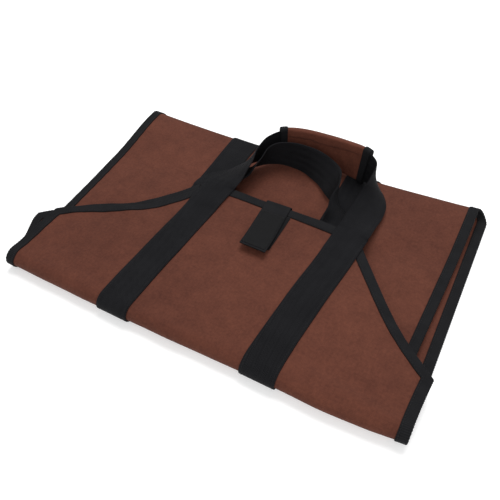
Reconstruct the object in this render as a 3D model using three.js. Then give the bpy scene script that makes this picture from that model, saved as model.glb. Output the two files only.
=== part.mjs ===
// Canvas log carrier, folded flat: a tapered canvas sheet bound in tape, two webbing straps that end in
// handle loops, a padded canvas grip round the front handle and a closure tab over both hems.
// Millimetres, +Z up, X along the folds, Y from the near fold to the far fold.
import * as THREE from 'three';

// Sheet
const sheet_width = 457;
const sheet_length = 1052;
const hem_width = 186;
const taper_length = 134;
const canvas_thickness = 1.2;

// Binding tape, webbing and the clearance between sewn layers
const binding_width = 10;
const binding_thickness = 1.0;
const webbing_width = 38;
const webbing_thickness = 1.5;
const strap_spacing = 172;
const seam_gap = 0.3;

// Folded package
const package_depth = 316;
const near_fold_height = 18.4;
const far_fold_height = 16.5;
const far_fold_dip = 6.5;
const log_gap = 5.6;
const flap_spacing = 4.6;
const inner_fold_setback = 8;
const near_fold_bow = 5;
const far_fold_bow = 3;

// Handles
const front_handle_reach = 112;
const back_handle_reach = 98;
const webbing_seam_setback = 60;

// Grip wrap
const grip_length = 116;
const grip_height = 46;
const grip_thickness = 6;
const grip_wall = 1.4;
const grip_end_width = 10;
const grip_end_thickness = 1.2;
const grip_end_overhang = 3;
const grip_shift = -6;

// Closure tab and the patch that it sticks to
const tab_width = 32;
const tab_thickness = 2;
const tab_reach = 76;
const tab_tuck = 30;
const tab_lift = 5;
const patch_length = 53;
const patch_shift = 4;
const patch_thickness = 1.2;
const tab_place = 6.6;
const tab_skew = 0.075;

// Finishes
const brown_canvas = { color: 0x6e4236, roughness: 0.92, metalness: 0 };
const black_tape = { color: 0x202123, roughness: 0.85, metalness: 0 };
const black_webbing = { color: 0x1d1e20, roughness: 0.8, metalness: 0 };

// Where each stretch of the sheet lies. side: shift along X, a share of sheet_width. slant: how far a
// point lags along Y for each unit to the right of the middle. gather: how much the cloth is drawn in
// towards the middle, a share of its width. drift: how far the cloth round the left strap is drawn to the
// right of its place, a share of sheet_width.
const lay = {
  front_hem: { side: 0.032, slant: 0.05, gather: 0, drift: 0 },
  near_fold: { side: 0.001, slant: 0, gather: 0, drift: 0.01 },
  base: { side: 0, slant: 0, gather: 0, drift: 0.01 },
  far_fold_top: { side: -0.03, slant: 0, gather: 0, drift: 0.012 },
  inner_fold: { side: -0.022, slant: 0, gather: 0.045, drift: 0 },
  back_hem: { side: -0.01, slant: 0.05, gather: 0, drift: 0 },
};
const drift_across = -0.38;
const drift_wide = 0.36;

// Shares of a flap's run from its fold over which it comes free of the fold, takes its slant and lets
// the gathers out, and the power with which it slides sideways
const free_run = 0.3;
const slant_run = 0.4;
const gather_run = 0.3;
const slide_power = 1.5;

// The back flap's left corner is pushed out past the front flap's edge. out: place, a share of the flap's
// run from its fold. long, wide: how far it spreads, shares of the run and of half the width. shift: a
// share of sheet_width. pull: how far it goes back towards the fold, a share of the run.
const corner_push = { out: 0.34, long: 0.17, wide: 0.5, shift: -0.012, pull: 0.07 };

// Dents and lifts of the two flaps. across: place, a share of half the sheet's width. out: place, a share
// of the flap's run from its fold. wide, long: how far it spreads, shares of half the width and of the run.
// lift: its height, a share of the near fold's height. pull: how far it draws the canvas back towards the
// fold, a share of the run.
const flap_folds = [
  { name: 'left_strap_lift', across: -0.34, out: 1.05, wide: 0.3, long: 0.3, lift: 0.3, pull: 0 },
  { name: 'left_edge_pull', across: -0.62, out: 0.78, wide: 0.32, long: 0.36, lift: -0.06, pull: 0.1 },
  { name: 'left_corner_curl', across: -1.05, out: 0.36, wide: 0.34, long: 0.34, lift: 0.12, pull: 0 },
  { name: 'right_strap_lift', across: 0.33, out: 1.06, wide: 0.26, long: 0.18, lift: 0.42, pull: 0 },
  { name: 'right_edge_pull', across: 0.66, out: 0.75, wide: 0.3, long: 0.36, lift: 0, pull: 0.03 },
  { name: 'right_edge_sag', across: 0.9, out: 0.52, wide: 0.26, long: 0.22, lift: -0.06, pull: 0.035 },
];

// Handle loops from the left hem to the right. across: from the middle of the two straps, a share of half
// the strap spacing. out: share of the loop's reach past the hem. up: the middle of the band above the
// front flap's layer, a share of webbing_width. stand: 0 flat, 1 on edge.
const front_loop = [
  { across: -0.95, out: 0.17, up: 0.2, stand: 0.15 },
  { across: -0.88, out: 0.36, up: 0.38, stand: 0.4 },
  { across: -0.82, out: 0.56, up: 0.46, stand: 0.74 },
  { across: -0.73, out: 0.74, up: 0.48, stand: 0.95 },
  { across: -0.6, out: 0.9, up: 0.47, stand: 1 },
  { across: -0.34, out: 0.985, up: 0.47, stand: 1 },
  { across: 0, out: 1, up: 0.48, stand: 1.02 },
  { across: 0.35, out: 0.98, up: 0.49, stand: 1.07 },
  { across: 0.67, out: 0.925, up: 0.52, stand: 1.12 },
  { across: 0.85, out: 0.84, up: 0.51, stand: 1.08 },
  { across: 0.98, out: 0.7, up: 0.4, stand: 0.66 },
  { across: 1.02, out: 0.48, up: 0.14, stand: 0.26 },
  { across: 1.0, out: 0.24, up: 0.08, stand: 0.06 },
];
const back_loop = [
  { across: -0.96, out: 0.18, up: -0.07, stand: 0.04 },
  { across: -0.82, out: 0.33, up: -0.04, stand: 0.12 },
  { across: -0.64, out: 0.46, up: 0.04, stand: 0.26 },
  { across: -0.53, out: 0.6, up: 0.24, stand: 0.6 },
  { across: -0.47, out: 0.75, up: 0.33, stand: 0.78 },
  { across: -0.32, out: 0.88, up: 0.35, stand: 0.92 },
  { across: -0.02, out: 0.95, up: 0.3, stand: 1.06 },
  { across: 0.33, out: 0.86, up: 0.31, stand: 1.26 },
  { across: 0.6, out: 0.69, up: 0.33, stand: 1.34 },
  { across: 0.76, out: 0.49, up: 0.33, stand: 1.1 },
  { across: 0.86, out: 0.31, up: 0.2, stand: 0.6 },
  { across: 0.96, out: 0.17, up: -0.02, stand: 0.14 },
];

// Levels of the canvas's middle face in the folded stack
const half_width = sheet_width / 2;
const half_canvas = canvas_thickness / 2;
const base_level = webbing_thickness + seam_gap + half_canvas;
const back_base_level = base_level + canvas_thickness + log_gap;
const outer_fold_radius = near_fold_height / 2;
const front_flap_level = base_level + 2 * outer_fold_radius;
const back_flap_level = front_flap_level - flap_spacing;
const inner_fold_radius = (back_flap_level - back_base_level) / 2;
const far_fold_radius = far_fold_height / 2;
const inner_fold_y = inner_fold_setback;

// The hems' place: half of what the sheet's length leaves after the folds and both base layers
const far_centre = package_depth - far_fold_radius;
const inner_centre = inner_fold_y + inner_fold_radius;
const folds_run = Math.PI * (outer_fold_radius + far_fold_radius + inner_fold_radius);
const bases_run = 2 * far_centre - outer_fold_radius - inner_centre;
const hem_y = (sheet_length - folds_run - bases_run + outer_fold_radius + inner_centre) / 2;
const front_run = hem_y - outer_fold_radius;
const back_run = hem_y - inner_centre;

const smooth = (x) => {
  const t = Math.min(Math.max(x, 0), 1);
  return t * t * (3 - 2 * t);
};
const mix = (a, b, t) => a + (b - a) * t;
const bump = (distance, spread) => Math.exp(-((distance / spread) ** 2));

// Lift and pull of both flaps at one place, so that they stay one above the other
function flapShape(x, y) {
  const out = (y - outer_fold_radius) / front_run;
  let lift = 0;
  let pull = 0;
  for (const fold of flap_folds) {
    const share = bump(x / half_width - fold.across, fold.wide) * bump(out - fold.out, fold.long);
    lift += fold.lift * share;
    pull += fold.pull * share;
  }
  const free = smooth(out / free_run);
  return { lift: near_fold_height * lift * free, pull: front_run * pull * free };
}

// The back base rises from the flat near half to the open far fold
function backBaseLevel(y, top) {
  return mix(back_base_level, top, smooth((y - hem_y) / (far_centre - hem_y)));
}

// The folded path in order from the front hem. Each stretch gives y, z, side and slant at a share t of it
// and at a distance across the sheet.
const arcPoint = (y, z, radius, turn) => [y - radius * Math.sin(turn), z - radius * Math.cos(turn)];
const stretches = [
  {
    name: 'front_flap', run: front_run, from: 'front_hem', to: 'near_fold',
    at: (t) => [hem_y - front_run * t, front_flap_level], lifted: true,
  },
  {
    name: 'near_fold', run: Math.PI * outer_fold_radius, from: 'near_fold', to: 'base',
    at: (t) => arcPoint(outer_fold_radius, base_level + outer_fold_radius, outer_fold_radius, Math.PI * (1 - t)),
  },
  {
    name: 'base', run: far_centre - outer_fold_radius, from: 'base', to: 'base',
    at: (t) => [mix(outer_fold_radius, far_centre, t), base_level],
  },
  {
    name: 'far_fold', run: Math.PI * far_fold_radius, from: 'base', to: 'far_fold_top',
    at: (t, middle) => {
      const radius = far_fold_radius - middle * far_fold_dip / 2;
      const centre = far_centre + far_fold_radius - radius;
      return arcPoint(centre, base_level + radius, radius, -Math.PI * t);
    },
  },
  {
    name: 'back_base', run: far_centre - inner_centre, from: 'far_fold_top', to: 'inner_fold',
    at: (t, middle) => {
      const radius = far_fold_radius - middle * far_fold_dip / 2;
      const y = mix(far_centre + far_fold_radius - radius, inner_centre, t);
      return [y, backBaseLevel(y, base_level + 2 * radius)];
    },
  },
  {
    name: 'inner_fold', run: Math.PI * inner_fold_radius, from: 'inner_fold', to: 'inner_fold',
    at: (t) => arcPoint(inner_centre, back_base_level + inner_fold_radius, inner_fold_radius, Math.PI * t),
  },
  {
    name: 'back_flap', run: back_run, from: 'inner_fold', to: 'back_hem',
    at: (t) => [inner_centre + back_run * t, back_flap_level], lifted: true,
  },
];
let travelled = 0;
for (const stretch of stretches) {
  stretch.start = travelled;
  travelled += stretch.run;
}
const path_length = travelled;

// A point of the canvas's middle face: s along the path from the front hem, u across from the middle
function middleFace(s, u) {
  const last = stretches.length - 1;
  let index = stretches.findIndex((stretch) => s <= stretch.start + stretch.run);
  if (index < 0) index = last;
  const stretch = stretches[index];
  const t = (s - stretch.start) / stretch.run;
  const middle = 1 - (u / half_width) ** 2;
  const [path_y, path_z] = stretch.at(t, middle);
  const from = lay[stretch.from];
  const to = lay[stretch.to];
  const flap_out = stretch.name === 'front_flap' ? 1 - t : t;
  const inner = stretch.name === 'front_flap' ? to : from;
  const hem = stretch.name === 'front_flap' ? from : to;
  const side = stretch.lifted ? mix(inner.side, hem.side, flap_out ** slide_power) : mix(from.side, to.side, smooth(t));
  const slant = stretch.lifted ? hem.slant * smooth(flap_out / slant_run) : 0;
  const gather = mix(from.gather, to.gather, smooth(stretch.lifted ? t / gather_run : t));
  const at_corner = bump(t - corner_push.out, corner_push.long) * bump(u / half_width + 1, corner_push.wide);
  const push = stretch.name === 'back_flap' ? at_corner : 0;
  const bow = middle * mix(near_fold_bow, far_fold_bow, smooth(path_y / package_depth));
  const drift = mix(from.drift, to.drift, smooth(t)) * bump(u / half_width - drift_across, drift_wide);
  const x = u * (1 - gather) + (side + drift + push * corner_push.shift) * sheet_width;
  const y = path_y - slant * u - bow - push * corner_push.pull * back_run;
  const { lift, pull } = stretch.lifted ? flapShape(x, y) : { lift: 0, pull: 0 };
  return new THREE.Vector3(x, y - pull, path_z + lift);
}

// The same point moved n along the outer side of the canvas
const probe = 0.4;
function onSheet(s, u, n) {
  const along = middleFace(s + probe, u).sub(middleFace(s - probe, u));
  const across = middleFace(s, u + probe).sub(middleFace(s, u - probe));
  const normal = along.cross(across).normalize();
  return middleFace(s, u).addScaledVector(normal, n);
}

// Stations along the path, shared by every piece that lies on the sheet
const strap_outer = strap_spacing / 2 + webbing_width / 2;
const strap_inner = strap_spacing / 2 - webbing_width / 2;
const diagonal_angle = Math.atan2(half_width - hem_width / 2, taper_length);
const diagonal_cover = strap_outer - hem_width / 2 + binding_width / Math.cos(diagonal_angle);
const landing_step = 10;
const hem_cover = Math.max(diagonal_cover / Math.tan(diagonal_angle), binding_width) + 2;
const strap_landing = hem_cover + landing_step;
function stationList() {
  const list = [];
  const even = (from, to, steps) => {
    for (let i = 0; i < steps; i += 1) list.push(mix(from, to, i / steps));
  };
  const front_end = front_run;
  even(0, hem_cover, 4);
  even(hem_cover, strap_landing, 2);
  even(strap_landing, taper_length, 5);
  even(taper_length, front_end, 3);
  for (const stretch of stretches.slice(1, 6)) {
    const bent = stretch.name.endsWith('fold');
    const steps = bent ? 6 : Math.ceil(stretch.run / 52);
    even(stretch.start, stretch.start + stretch.run, steps);
  }
  const back_corner = path_length - taper_length;
  even(stretches[6].start, back_corner, 3);
  even(back_corner, path_length - strap_landing, 5);
  even(path_length - strap_landing, path_length - hem_cover, 2);
  even(path_length - hem_cover, path_length, 4);
  list.push(path_length);
  return list;
}
const stations = stationList();

// Half the flat sheet's width at s: full, then tapering to the hems
function halfWidthAt(s) {
  const from_hem = Math.min(s, path_length - s);
  return mix(hem_width / 2, half_width, Math.min(from_hem / taper_length, 1));
}

// Closed wall from a grid of rows. Each cell holds one point of the outer face and one of the inner face.
// A ring joins its last column to its first and needs no side edges.
function wall(rows, ring = false) {
  const columns = rows[0].length;
  const positions = [];
  const index = [];
  for (const row of rows) {
    for (const cell of row) positions.push(...cell.outer.toArray(), ...cell.inner.toArray());
  }
  const outer = (i, k) => 2 * (i * columns + (k % columns));
  const inner = (i, k) => outer(i, k) + 1;
  const quad = (a, b, c, d) => index.push(a, b, c, a, c, d);
  const spans = ring ? columns : columns - 1;
  for (let i = 0; i < rows.length - 1; i += 1) {
    for (let k = 0; k < spans; k += 1) {
      quad(outer(i, k), outer(i, k + 1), outer(i + 1, k + 1), outer(i + 1, k));
      quad(inner(i, k), inner(i + 1, k), inner(i + 1, k + 1), inner(i, k + 1));
    }
    if (!ring) {
      quad(outer(i, 0), outer(i + 1, 0), inner(i + 1, 0), inner(i, 0));
      quad(outer(i + 1, spans), outer(i, spans), inner(i, spans), inner(i + 1, spans));
    }
  }
  const end = rows.length - 1;
  for (let k = 0; k < spans; k += 1) {
    quad(inner(0, k), inner(0, k + 1), outer(0, k + 1), outer(0, k));
    quad(outer(end, k), outer(end, k + 1), inner(end, k + 1), inner(end, k));
  }
  const geometry = new THREE.BufferGeometry();
  geometry.setAttribute('position', new THREE.Float32BufferAttribute(positions, 3));
  geometry.setIndex(index);
  if (signedVolume(geometry) < 0) {
    for (let i = 0; i < index.length; i += 3) [index[i], index[i + 1]] = [index[i + 1], index[i]];
    geometry.setIndex(index);
  }
  geometry.computeVertexNormals();
  return geometry;
}

function signedVolume(geometry) {
  const points = geometry.getAttribute('position');
  const faces = geometry.getIndex();
  const corner = [new THREE.Vector3(), new THREE.Vector3(), new THREE.Vector3()];
  let volume = 0;
  for (let i = 0; i < faces.count; i += 3) {
    corner.forEach((point, k) => point.fromBufferAttribute(points, faces.getX(i + k)));
    volume += corner[0].dot(corner[1].clone().cross(corner[2])) / 6;
  }
  return volume;
}

const inner_columns = [0, strap_inner / 3, strap_inner * 2 / 3, strap_inner];
const side_columns = 6;

// Canvas: the straps' middles and inner edges are columns of their own, so both bend alike
function canvasSheet() {
  const rows = stations.map((s) => {
    const edge = halfWidthAt(s);
    const half = [...inner_columns, strap_spacing / 2];
    for (let i = 1; i <= side_columns; i += 1) half.push(mix(strap_spacing / 2, edge, i / side_columns));
    const across = [...half.slice(1).reverse().map((u) => -u), ...half];
    return across.map((u) => ({ outer: onSheet(s, u, half_canvas), inner: onSheet(s, u, -half_canvas) }));
  });
  return wall(rows);
}

// Inward steps from the flat outline: the step to the point one unit inside the edge, or, at a corner,
// inside both of its edges
const side_mitre = { s: Math.tan(diagonal_angle / 2), u: -1 };
const hem_mitre = { s: 1, u: -Math.tan((Math.PI / 2 - diagonal_angle) / 2) };
const diagonal_inward = { s: Math.sin(diagonal_angle), u: -Math.cos(diagonal_angle) };

// The inward step at a station of the right-hand edge
function inwardAt(s) {
  const from_hem = Math.min(s, path_length - s);
  const sign = s < path_length / 2 ? 1 : -1;
  let step = { s: 0, u: -1 };
  if (from_hem < 1e-6) step = hem_mitre;
  else if (Math.abs(from_hem - taper_length) < 1e-6) step = side_mitre;
  else if (from_hem < taper_length) step = diagonal_inward;
  return { s: step.s * sign, u: step.u };
}

// One folded-tape section round an edge: place gives the flat point at a distance inside the edge
function tapeSection(place) {
  const near_face = half_canvas + seam_gap;
  const far_face = near_face + binding_thickness;
  const cell = (inside_outer, n_outer, inside_inner, n_inner) => {
    const a = place(inside_outer);
    const b = place(inside_inner);
    return { outer: onSheet(a.s, a.u, n_outer), inner: onSheet(b.s, b.u, n_inner) };
  };
  const bend = -seam_gap - binding_thickness;
  return [
    cell(binding_width, far_face, binding_width, near_face),
    cell(-seam_gap, far_face, -seam_gap, near_face),
    cell(bend, near_face, -seam_gap, near_face / 2),
    cell(bend, -near_face, -seam_gap, -near_face / 2),
    cell(-seam_gap, -far_face, -seam_gap, -near_face),
    cell(binding_width, -far_face, binding_width, -near_face),
  ];
}

// Tape along one side of the sheet, from hem to hem. hand is 1 on the right and -1 on the left.
function sideBinding(hand) {
  const rows = stations.map((s) => {
    const inward = inwardAt(s);
    const edge = halfWidthAt(s);
    return tapeSection((inside) => ({
      s: s + inward.s * inside,
      u: hand * (edge + inward.u * inside),
    }));
  });
  return wall(rows);
}

// Tape along one hem, mitred to meet the side tapes with the seam gap
function hemBinding(at_back) {
  const hem_s = at_back ? path_length : 0;
  const sign = at_back ? -1 : 1;
  const corner = hem_width / 2 - 2 * seam_gap;
  const half = [...inner_columns, strap_spacing / 2].filter((u) => u < corner - binding_width / 2);
  const across = [-corner, ...half.slice(1).reverse().map((u) => -u), ...half, corner];
  const rows = across.map((u) => {
    const mitre = Math.abs(u) === corner ? Math.sign(u) * hem_mitre.u : 0;
    return tapeSection((inside) => ({ s: hem_s + sign * inside, u: u + mitre * inside }));
  });
  return wall(rows);
}

// How far a strap's near face stands off the canvas: over the binding at the hem, then down on the canvas
function strapStandOff(s) {
  const from_hem = Math.min(s, path_length - s);
  const landed = smooth((from_hem - hem_cover) / (strap_landing - hem_cover));
  return half_canvas + seam_gap + (binding_thickness + seam_gap) * (1 - landed);
}

// Rows of one strap on the sheet's outer face, columns from u_first to u_last. The back straps are turned
// over, so their faces run on into the upper and lower face of the loop.
function strapRows(list, u_first, u_last, turned_over) {
  const across = [u_first, (u_first + u_last) / 2, u_last];
  return list.map((s) => {
    const low = strapStandOff(s);
    const high = low + webbing_thickness;
    const [first, second] = turned_over ? [low, high] : [high, low];
    return across.map((u) => ({ outer: onSheet(s, u, first), inner: onSheet(s, u, second) }));
  });
}

// Band frames of a handle loop between the middles of its two straps at a hem
function loopFrames(hem_s, table, reach, steps) {
  const outward = hem_s === 0 ? -1 : 1;
  const stand_off = strapStandOff(hem_s) + webbing_thickness / 2;
  const left = onSheet(hem_s, -strap_spacing / 2, stand_off);
  const right = onSheet(hem_s, strap_spacing / 2, stand_off);
  const leave = (u) => onSheet(hem_s, u, stand_off).sub(onSheet(hem_s - outward * 4, u, stand_off)).normalize();
  const lead = webbing_width / 5;
  const centre = left.clone().add(right).multiplyScalar(0.5);
  const points = [left, left.clone().addScaledVector(leave(-strap_spacing / 2), lead)];
  const stands = [0, 0];
  for (const row of table) {
    const x = centre.x + row.across * strap_spacing / 2;
    const y = centre.y + row.out * reach;
    const z = front_flap_level + row.up * webbing_width;
    points.push(new THREE.Vector3(x, y, z));
    stands.push(row.stand);
  }
  points.push(right.clone().addScaledVector(leave(strap_spacing / 2), lead), right);
  stands.push(0, 0);
  const curve = new THREE.CatmullRomCurve3(points, false, 'centripetal');
  const last = points.length - 1;
  const frames = [];
  for (let i = 0; i <= steps; i += 1) {
    const share = i / steps;
    const at = share * last;
    const low = Math.min(Math.floor(at), last - 1);
    const stand = mix(stands[low], stands[low + 1], smooth(at - low));
    const tangent = curve.getTangent(share);
    const level = tangent.clone().cross(new THREE.Vector3(0, 0, 1)).normalize();
    const upright = level.clone().cross(tangent).normalize();
    const turn = stand * Math.PI / 2;
    const width_way = level.multiplyScalar(Math.cos(turn)).addScaledVector(upright, Math.sin(turn));
    const face_way = width_way.clone().cross(tangent).normalize();
    frames.push({ centre: curve.getPoint(share), tangent, width_way, face_way });
  }
  return frames;
}

// Rows of a band that follows frames
function bandRows(frames, width, thickness) {
  return frames.map(({ centre, width_way, face_way }) => [-0.5, 0, 0.5].map((share) => {
    const point = centre.clone().addScaledVector(width_way, share * width);
    return {
      outer: point.clone().addScaledVector(face_way, thickness / 2),
      inner: point.clone().addScaledVector(face_way, -thickness / 2),
    };
  }));
}

// The webbing meets end to end under the base, in the unseen seam near the far fold
const seam_s = stretches[2].start + stretches[2].run - webbing_seam_setback;
const front_frames = loopFrames(0, front_loop, front_handle_reach, 66);
const back_frames = loopFrames(path_length, back_loop, back_handle_reach, 54);

function webbing(frames, front) {
  const seam_end = front ? seam_s - seam_gap / 2 : seam_s + seam_gap / 2;
  const kept = stations.filter((s) => (front ? s < seam_end - 1 : s > seam_end + 1));
  const list = front ? [...kept, seam_end].reverse() : [seam_end, ...kept];
  return wall([
    ...strapRows(list, -strap_outer, -strap_inner, !front),
    ...bandRows(frames.slice(1, -1), webbing_width, webbing_thickness),
    ...strapRows([...list].reverse(), strap_outer, strap_inner, !front),
  ]);
}

// Sleeve round the standing band: a ring section swept along some of the loop's frames
function sleeve(frames, inner_height, inner_thickness, thickness) {
  const rows = frames.map(({ centre, width_way, face_way }) => {
    const corner = (across, out, side) => centre.clone()
      .addScaledVector(width_way, across * (inner_height / 2 + side))
      .addScaledVector(face_way, out * (inner_thickness / 2 + side));
    const cells = [];
    for (const [across, out] of [[-1, -1], [1, -1], [1, 1], [-1, 1]]) {
      cells.push({ outer: corner(across, out, thickness), inner: corner(across, out, 0) });
    }
    return cells;
  });
  return wall(rows, true);
}

// Frames at the given lengths along a loop
function framesAt(frames, wanted) {
  const lengths = [0];
  for (let i = 1; i < frames.length; i += 1) {
    lengths.push(lengths[i - 1] + frames[i].centre.distanceTo(frames[i - 1].centre));
  }
  return wanted.map((length) => {
    const k = Math.max(lengths.findIndex((value) => value >= length), 1);
    const share = (length - lengths[k - 1]) / (lengths[k] - lengths[k - 1]);
    const blend = (key) => frames[k - 1][key].clone().lerp(frames[k][key], share);
    return {
      centre: blend('centre'),
      width_way: blend('width_way').normalize(),
      face_way: blend('face_way').normalize(),
    };
  });
}
const loopLength = (frames) => frames.slice(1).reduce(
  (sum, frame, i) => sum + frame.centre.distanceTo(frames[i].centre), 0);

// The grip sits at the middle of the front loop. Its bound ends stand past the wrap a little.
const grip_start = (loopLength(front_frames) - grip_length) / 2 + grip_shift;
const grip_inner_height = grip_height - 2 * grip_wall;
const grip_inner_thickness = grip_thickness - 2 * grip_wall;
const on_wrap = grip_end_width - grip_end_overhang;
const grip_steps = 12;

function gripWrap() {
  const wanted = [0];
  for (let i = 0; i <= grip_steps; i += 1) wanted.push(mix(on_wrap, grip_length - on_wrap, i / grip_steps));
  wanted.push(grip_length);
  const frames = framesAt(front_frames, wanted.map((length) => grip_start + length));
  return sleeve(frames, grip_inner_height, grip_inner_thickness, grip_wall);
}
function gripEnd(at_right) {
  const from_left = [-grip_end_overhang, 0, on_wrap];
  const wanted = at_right ? from_left.map((length) => grip_length - length).reverse() : from_left;
  const frames = framesAt(front_frames, wanted.map((length) => grip_start + length));
  return sleeve(frames, grip_height + 2 * seam_gap, grip_thickness + 2 * seam_gap, grip_end_thickness);
}

// Place across the flat sheet of the point that lies at x on a hem
const acrossAt = (x, hem) => x - hem.side * sheet_width;

// The tab's middle line at one place across: from under the back flap, out past both hems and back over
// the front flap, a little aslant, where its free end stands up
function tabLine(x) {
  const stand_off = half_canvas + 2 * seam_gap + binding_thickness + tab_thickness / 2;
  const below = (s) => onSheet(path_length - s, acrossAt(x, lay.back_hem), stand_off).setX(x);
  const above = (s, lift) => {
    const skewed = x + tab_skew * s;
    return onSheet(s, acrossAt(skewed, lay.front_hem), stand_off + lift).setX(skewed);
  };
  const lower = [tab_tuck, tab_tuck / 2, 0].map(below);
  const upper = [0, 0.25, 0.5, 0.75, 1].map((share) => {
    const over_patch = patch_thickness * smooth(share * 4);
    return above(tab_reach * share, over_patch + tab_lift * share * share);
  });
  const bottom = lower[lower.length - 1];
  const top = upper[0];
  const radius = (top.z - bottom.z) / 2;
  const hem_edge = Math.max(bottom.y, top.y) + binding_thickness + 2 * seam_gap;
  const bend = [];
  for (let i = 0; i <= tab_bend_steps; i += 1) {
    const turn = Math.PI * (i / tab_bend_steps);
    const y = hem_edge + radius * tab_bend_fullness * Math.sin(turn);
    bend.push(new THREE.Vector3(x, y, bottom.z + radius * (1 - Math.cos(turn))));
  }
  return [...lower, ...bend, ...upper];
}
const tab_bend_steps = 8;
const tab_bend_fullness = 0.7;

function closureTab() {
  const columns = [-0.5, 0, 0.5].map((share) => {
    const points = tabLine(tab_place + share * tab_width);
    return points.map((point, i) => {
      const before = points[Math.max(i - 1, 0)];
      const after = points[Math.min(i + 1, points.length - 1)];
      const run = after.clone().sub(before).setX(0).normalize();
      const face = new THREE.Vector3(0, run.z, -run.y).multiplyScalar(tab_thickness / 2);
      return { outer: point.clone().add(face), inner: point.clone().sub(face) };
    });
  });
  return wall(columns[0].map((cell, i) => columns.map((column) => column[i])));
}

// Patch on the front flap that the tab sticks to
function tabPatch() {
  const low = half_canvas + seam_gap;
  const start = binding_width + 3 * seam_gap;
  const rows = [0, 0.25, 0.5, 0.75, 1].map((share) => {
    const s = start + patch_length * share;
    return [-0.5, 0, 0.5].map((side) => {
      const u = acrossAt(tab_place + patch_shift + tab_skew * s + side * tab_width, lay.front_hem);
      return { outer: onSheet(s, u, low + patch_thickness), inner: onSheet(s, u, low) };
    });
  });
  return wall(rows);
}

const carrier = new THREE.Group();
function add(name, geometry, finish) {
  const mesh = new THREE.Mesh(geometry, new THREE.MeshStandardMaterial(finish));
  mesh.name = name;
  carrier.add(mesh);
}
add('canvas_sheet', canvasSheet(), brown_canvas);
add('binding_left', sideBinding(-1), black_tape);
add('binding_right', sideBinding(1), black_tape);
add('hem_binding_front', hemBinding(false), black_tape);
add('hem_binding_back', hemBinding(true), black_tape);
add('webbing_front', webbing(front_frames, true), black_webbing);
add('webbing_back', webbing(back_frames, false), black_webbing);
add('grip_wrap', gripWrap(), brown_canvas);
add('grip_end_left', gripEnd(false), black_tape);
add('grip_end_right', gripEnd(true), black_tape);
add('closure_tab', closureTab(), black_webbing);
add('tab_patch', tabPatch(), black_webbing);

// Origin: bottom centre of the whole
const box = new THREE.Box3().setFromObject(carrier);
const middle_of_box = box.getCenter(new THREE.Vector3());
for (const mesh of carrier.children) mesh.geometry.translate(-middle_of_box.x, -middle_of_box.y, -box.min.z);

export default carrier;
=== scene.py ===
# %% [markdown]
# A canvas log carrier, folded flat. It is one tapered sheet of brown waxed canvas with black tape round
# its edges, two black webbing straps that run on into the handle loops, a canvas grip and a hook tab.
# The frame gives the size and the place of each of these, and this script gives them their cloth.

# %% Load the frame
import math
import bpy
import bmesh
import numpy as np
from mathutils import Matrix, Vector


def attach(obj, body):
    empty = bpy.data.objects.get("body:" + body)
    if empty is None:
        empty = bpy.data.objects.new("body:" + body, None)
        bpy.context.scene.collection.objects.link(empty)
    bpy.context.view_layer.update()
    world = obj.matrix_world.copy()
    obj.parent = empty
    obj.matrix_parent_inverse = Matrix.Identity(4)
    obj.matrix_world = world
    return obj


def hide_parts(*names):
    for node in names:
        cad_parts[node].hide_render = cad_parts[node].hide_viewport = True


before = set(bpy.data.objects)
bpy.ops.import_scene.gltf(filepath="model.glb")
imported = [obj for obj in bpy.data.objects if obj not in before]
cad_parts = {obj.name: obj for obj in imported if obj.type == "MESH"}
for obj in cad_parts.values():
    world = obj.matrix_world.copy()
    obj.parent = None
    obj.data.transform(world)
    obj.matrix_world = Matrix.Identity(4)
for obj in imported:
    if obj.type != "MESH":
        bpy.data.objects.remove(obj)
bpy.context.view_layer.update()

millimetre = 0.001


def show(name, data):
    """An object in the scene for a mesh, a lamp or a camera."""
    made = bpy.data.objects.new(name, data)
    bpy.context.scene.collection.objects.link(made)
    return made


def named(columns, table):
    """The rows of a table, each with the names of its columns."""
    return [dict(zip(columns.split(), row)) for row in table]


# %% [markdown]
# The real thing is sewn flat and then folded, so its pieces are described flat here too: s is the way
# along the sheet from the front hem, u the way across it. One fold map takes each flat point to its place
# in the folded carrier. Every piece goes through the same map, so tape, straps and canvas bend together.

# %% Sizes in millimetres, as in the frame
sheet_width = 457
sheet_length = 1052
hem_width = 186
taper_length = 134
canvas_thickness = 1.2
binding_width = 10
binding_thickness = 1.0
webbing_width = 38
webbing_thickness = 1.5
strap_spacing = 172
seam_gap = 0.3
package_depth = 316
near_fold_height = 18.4
far_fold_height = 16.5
far_fold_dip = 6.5
log_gap = 5.6
flap_spacing = 4.6
inner_fold_setback = 8
near_fold_bow = 5
far_fold_bow = 3
front_handle_reach = 112
back_handle_reach = 98
webbing_seam_setback = 60
grip_length = 116
grip_height = 46
grip_thickness = 6
grip_end_width = 10
grip_end_overhang = 3
grip_end_thickness = 1.2
grip_shift = -6
tab_width = 32
tab_thickness = 2
tab_reach = 76
tab_tuck = 30
tab_lift = 5
patch_length = 53
patch_shift = 6
patch_thickness = 1.2
tab_place = 6.6
tab_skew = 0.075

# The frame's origin, as seen from the near fold's middle
origin_shift = np.array([-5.6991, 155.4685, 0.0])

# Where each stretch of the sheet lies. side and drift, shares of sheet_width, shift all of it and the left
# strap's strip along X. slant is how far it lags along Y towards the right. gather draws it in.
lay = {
    "front_hem": (0.032, 0.05, 0.0, 0.0),
    "near_fold": (0.001, 0.0, 0.0, 0.01),
    "base": (0.0, 0.0, 0.0, 0.01),
    "far_fold_top": (-0.03, 0.0, 0.0, 0.012),
    "inner_fold": (-0.022, 0.0, 0.045, 0.0),
    "back_hem": (-0.01, 0.05, 0.0, 0.0),
}
lay = dict(zip(lay, named("side slant gather drift", lay.values())))
drift_across = -0.38
drift_wide = 0.36

# Shares of a flap's run from its fold over which it comes free, takes its slant and lets the gathers
# out, and the power with which it slides sideways
free_run = 0.3
slant_run = 0.4
gather_run = 0.3
slide_power = 1.5

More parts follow.
